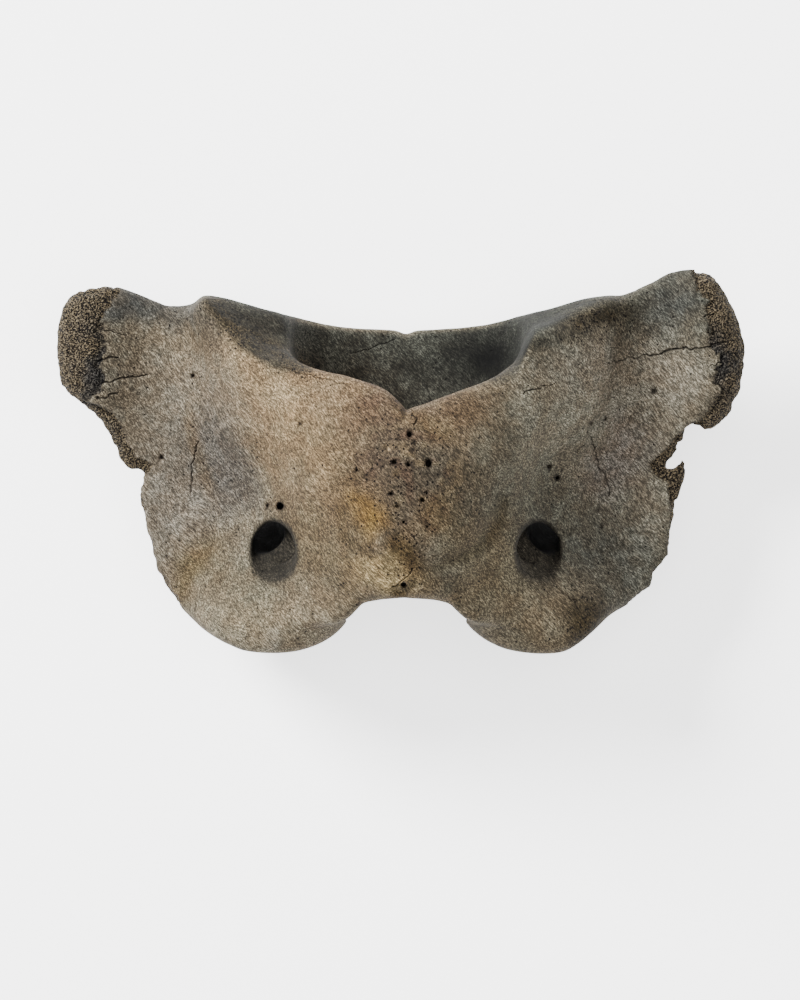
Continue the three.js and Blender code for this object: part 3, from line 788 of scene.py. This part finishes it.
def paint(mesh, points, split):
    """Stores the colours and masks that the material reads, point by point.

    tint is the colour, and in its alpha a share that paints shade and light into the joint faces, the canal
    and the pits. masks has the broken skin, the joint faces and canal, the porous places, and in its alpha
    the pits' painted shade, or the soot where the skin is broken. split has the cracks and the blood vessel
    holes.
    """
    x, y, z = points.T
    px, py = to_px(x, y)
    upward = vectors(mesh, "normal")[:, 2]
    colour, under = tint(x, y, z)
    patches = (noise(x, y, z, 16, 13) - 0.5)[:, None]
    colour = mix(colour, under * (1 + 0.5 * patches), step(0.1, -0.5, upward)[:, None])
    inner = inner_mask(x, y, z, upward)
    # painted shade in the pits, darker deeper down
    pit = step(1.7, -0.1, alar_hollow(np.abs(x), y, z)) * mix(0.6, 1, step(40, 33, z))
    # painted shade and light of the joint faces, the canal and the pits
    share = mix(1, painted_hollow_light_and_shade(px, py), np.maximum(inner, pit))
    reach = broken_reach(x, y, z)
    broken = skin_broken(reach)
    pit_or_soot = np.where(broken > 0.3, soot_mask(x, y, z, reach), pit)
    porous = porous_mask(px, py, upward)
    holes = step(0.25, -0.15, vessel_holes(x, y, z))
    store(mesh, "tint", "FLOAT_COLOR", "color", np.c_[colour, share])
    store(mesh, "masks", "FLOAT_COLOR", "color", np.c_[broken, inner, porous, pit_or_soot])
    store(mesh, "split", "FLOAT", "value", np.maximum(split, holes))


# Material
def opaque(r, g, b):
    return (*srgb(r, g, b), 1)


class Nodes:
    """Short names for building a node tree."""

    def __init__(self, tree):
        self.tree = tree

    def add(self, kind, inputs=None, **settings):
        node = self.tree.nodes.new(kind)
        for key, value in settings.items():
            setattr(node, key, value)
        for key, value in (inputs or {}).items():
            self.set(node.inputs[key], value)
        return node

    def set(self, socket, value):
        if isinstance(value, bpy.types.NodeSocket):
            self.tree.links.new(value, socket)
        else:
            socket.default_value = value

    def math(self, operation, a, b=0.0, c=0.0):
        node = self.add("ShaderNodeMath", operation=operation)
        for socket, value in zip(node.inputs, (a, b, c)):
            self.set(socket, value)
        return node.outputs[0]

    def vector_math(self, operation, inputs):
        return self.add("ShaderNodeVectorMath", inputs, operation=operation).outputs[0]

    def ramp(self, value, start, end, low=0.0, high=1.0):
        inputs = {"Value": value, "From Min": start, "From Max": end, "To Min": low, "To Max": high}
        return self.add("ShaderNodeMapRange", inputs, interpolation_type="SMOOTHSTEP").outputs["Result"]

    def mix(self, factor, a, b, blend="MIX"):
        node = self.add("ShaderNodeMix", data_type="RGBA", blend_type=blend)
        for socket, value in zip((node.inputs[0], node.inputs[6], node.inputs[7]), (factor, a, b)):
            self.set(socket, value)
        return node.outputs[2]

    def multiply(self, a, b):
        return self.mix(1.0, a, b, "MULTIPLY")

    def grey(self, value):
        return self.add("ShaderNodeCombineColor", {0: value, 1: value, 2: value}).outputs[0]

    def attribute(self, name):
        return self.add("ShaderNodeAttribute", attribute_name=name).outputs

    def noise(self, vector, scale, detail, roughness):
        inputs = {"Vector": vector, "Scale": scale, "Detail": detail, "Roughness": roughness}
        return self.add("ShaderNodeTexNoise", inputs).outputs["Fac"]

    def cells(self, vector, scale):
        inputs = {"Vector": vector, "Scale": scale, "Randomness": 1.0}
        return self.add("ShaderNodeTexVoronoi", inputs).outputs


def bone_material():
    """Weathered bone. The scales of the textures are in repeats to a metre."""
    material = bpy.data.materials.new("weathered_bone")
    material.use_nodes = True
    tree = material.node_tree
    tree.nodes.clear()
    n = Nodes(tree)
    tint_node = n.attribute("tint")
    masks = n.attribute("masks")
    broken, inner, porous = n.add("ShaderNodeSeparateColor", {0: masks["Color"]}).outputs[:3]
    pit = masks["Alpha"]
    solid = n.add("ShaderNodeTexCoord").outputs["Object"]
    # drawn out in height, so that fine marks keep their size on steep faces seen from above
    place = n.vector_math("MULTIPLY", {0: solid, 1: (1, 1, 0.45)})

    # fibres run from the upper left to the lower right of the photograph
    turned = n.add("ShaderNodeMapping", {"Vector": place, "Rotation": (0, 0, math.radians(50))}).outputs[0]
    wander = n.add("ShaderNodeTexNoise", {"Vector": place, "Scale": 60.0, "Detail": 1.0}).outputs["Color"]
    bent = n.vector_math("SCALE", {0: wander, 3: 0.004})
    turned = n.vector_math("ADD", {0: turned, 1: bent})
    long_way = n.vector_math("MULTIPLY", {0: turned, 1: (0.24, 1, 1)})
    fibre = n.noise(long_way, 3900.0, 2.0, 0.6)
    coarse_fibre = n.noise(long_way, 1900.0, 1.0, 0.6)
    grit = n.noise(place, 4000.0, 1.0, 0.6)
    fleck = n.noise(place, 500.0, 4.0, 0.7)
    mottle = n.noise(solid, 170.0, 4.0, 0.62)
    cloud = n.noise(solid, 45.0, 3.0, 0.6)

    # fine light and dark streaks over the tint
    streak = n.ramp(fibre, 0.34, 0.66, -0.75, 0.75)
    streak = n.math("ADD", streak, n.ramp(coarse_fibre, 0.3, 0.7, -0.18, 0.18))
    streak = n.math("ADD", streak, n.ramp(grit, 0.32, 0.68, -0.5, 0.5))
    streak = n.math("ADD", streak, n.ramp(fleck, 0.32, 0.68, -0.20, 0.20))
    light = n.math("EXPONENT", n.math("MULTIPLY", streak, 0.96))
    light = n.math("MULTIPLY", light, n.ramp(mottle, 0.3, 0.7, 0.82, 1.18))
    light = n.math("MULTIPLY", light, n.ramp(cloud, 0.3, 0.7, 0.88, 1.12))
    grey = n.grey(light)
    colour = n.multiply(tint_node["Color"], grey)
    warm = n.multiply(colour, (1.05, 0.99, 0.93, 1))
    cool = n.multiply(colour, (0.96, 1.0, 1.03, 1))
    colour = n.mix(n.ramp(mottle, 0.35, 0.65), warm, cool)

    # the joint faces and the canal are darker and greener, and the pits get painted shade, black in their
    # depths
    dark = n.multiply(n.mix(n.ramp(mottle, 0.35, 0.65), opaque(50, 53, 49), opaque(82, 84, 78)), grey)
    colour = n.mix(n.math("MULTIPLY", inner, 0.88), colour, dark)
    hollow = n.multiply(n.mix(n.ramp(pit, 0.62, 0.95), opaque(74, 70, 62), opaque(10, 10, 9)), grey)
    colour = n.mix(n.ramp(pit, 0.0, 0.6), colour, hollow)
    # painted shade on the left joint face, in the left pit and in the canal's recess, painted light in the
    # right pit
    colour = n.multiply(colour, n.grey(tint_node["Alpha"]))

    # pores, with brown between them where they are many
    brown = n.math("MULTIPLY", porous, n.ramp(mottle, 0.35, 0.6, 0.15, 0.75))
    colour = n.mix(brown, colour, n.multiply(opaque(84, 72, 52), grey))
    pores = n.cells(place, 1700.0)
    chance = n.add("ShaderNodeSeparateColor", {0: pores["Color"]}).outputs[0]
    open_cell = n.math("LESS_THAN", chance, n.math("MULTIPLY_ADD", porous, 0.5, 0.014))
    pore = n.math("MULTIPLY", n.ramp(pores["Distance"], 0.26, 0.48, 1.0, 0.0), open_cell)
    colour = n.mix(n.math("MULTIPLY", pore, 0.92), colour, opaque(18, 15, 12))

    # broken ends: open sponge, brown with black gaps
    web = n.cells(place, 1900.0)["Distance"]
    gaps = n.ramp(n.noise(place, 3000.0, 2.0, 0.7), 0.45, 0.55)
    sponge = n.mix(gaps, opaque(24, 20, 16), opaque(192, 175, 147))
    sooty = n.mix(gaps, opaque(10, 11, 13), opaque(116, 117, 117))
    sponge = n.mix(n.math("MULTIPLY", pit, 0.85), sponge, sooty)
    sponge = n.mix(n.ramp(web, 0.14, 0.46, 0.9, 0.0), sponge, opaque(12, 11, 10))
    colour = n.mix(broken, colour, sponge)

    # cracks and blood vessel holes
    colour = n.mix(n.math("MULTIPLY", n.attribute("split")["Fac"], 0.88), colour, opaque(14, 12, 10))

    # relief finer than the mesh
    height = n.math("MULTIPLY_ADD", fibre, 0.06, n.math("MULTIPLY", coarse_fibre, 0.10))
    height = n.math("MULTIPLY_ADD", fleck, 0.16, height)
    height = n.math("MULTIPLY_ADD", mottle, 0.2, height)
    height = n.math("MULTIPLY_ADD", pore, -0.30, height)
    web_height = n.math("MULTIPLY_ADD", gaps, 0.35, n.math("MULTIPLY", web, -0.4))
    height = n.math("ADD", height, n.math("MULTIPLY", broken, web_height))
    relief = n.add("ShaderNodeBump", {"Height": height, "Strength": 1.0, "Distance": 0.001}).outputs[0]
    roughness = n.ramp(mottle, 0.3, 0.7, 0.78, 0.95)
    look = {"Base Color": colour, "Roughness": roughness, "Specular IOR Level": 0.1, "Normal": relief}
    shader = n.add("ShaderNodeBsdfPrincipled", look)
    n.add("ShaderNodeOutputMaterial", {0: shader.outputs[0]})
    return material


bone_object = worn_bone_object()
points, split = open_cracks(bone_object.data)
paint(bone_object.data, points, split)
bone_object.data.materials.append(bone_material())
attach(bone_object, "root")
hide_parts("atlas")


# Studio
def floor(reach):
    mesh = bpy.data.meshes.new("floor")
    corners = [(-reach, -reach, 0), (reach, -reach, 0), (reach, reach, 0), (-reach, reach, 0)]
    mesh.from_pydata(corners, [], [(0, 1, 2, 3)])
    thing = bpy.data.objects.new("floor", mesh)
    bpy.context.collection.objects.link(thing)
    material = bpy.data.materials.new("pale_floor")
    material.use_nodes = True
    shader = material.node_tree.nodes["Principled BSDF"]
    shader.inputs["Base Color"].default_value = (0.9, 0.9, 0.9, 1)
    shader.inputs["Emission Color"].default_value = (1, 1, 1, 1)
    shader.inputs["Emission Strength"].default_value = 1.8
    shader.inputs["Roughness"].default_value = 0.9
    mesh.materials.append(material)


def area_light(name, place, aim, size, power):
    lamp = bpy.data.lights.new(name, "AREA")
    lamp.shape = "DISK"
    lamp.size = size
    lamp.energy = power
    thing = bpy.data.objects.new(name, lamp)
    thing.location = place
    thing.rotation_euler = (Vector(aim) - Vector(place)).to_track_quat("-Z", "Y").to_euler()
    bpy.context.collection.objects.link(thing)


def studio_world(strength):
    world = bpy.data.worlds.new("studio")
    world.use_nodes = True
    background = world.node_tree.nodes["Background"]
    background.inputs["Color"].default_value = (1, 1, 1, 1)
    background.inputs["Strength"].default_value = strength
    bpy.context.scene.world = world


def top_camera(distance, focus_height, sensor):
    """Camera straight above the photograph's middle, with the photograph's scale at focus_height."""
    x, y = (np.array(at_px(PHOTO_SIZE[0] / 2, PHOTO_SIZE[1] / 2)) - DRAWING_CENTRE[:2]) / 1000
    lens = bpy.data.cameras.new("camera")
    lens.sensor_fit = "VERTICAL"
    lens.sensor_height = sensor
    lens.lens = sensor * distance * 1000 / (PHOTO_SIZE[1] * PIXEL)
    camera = bpy.data.objects.new("camera", lens)
    camera.location = (x, y, focus_height + distance)
    bpy.context.collection.objects.link(camera)
    bpy.context.scene.camera = camera


floor(reach=3.0)
area_light("key", place=(-0.95, 0.75, 1.05), aim=(0, 0, 0.03), size=0.7, power=92)
area_light("top", place=(0.1, 0.0, 1.8), aim=(0, 0, 0), size=1.2, power=30)
studio_world(strength=0.7)
top_camera(distance=1.1, focus_height=0.033, sensor=24)
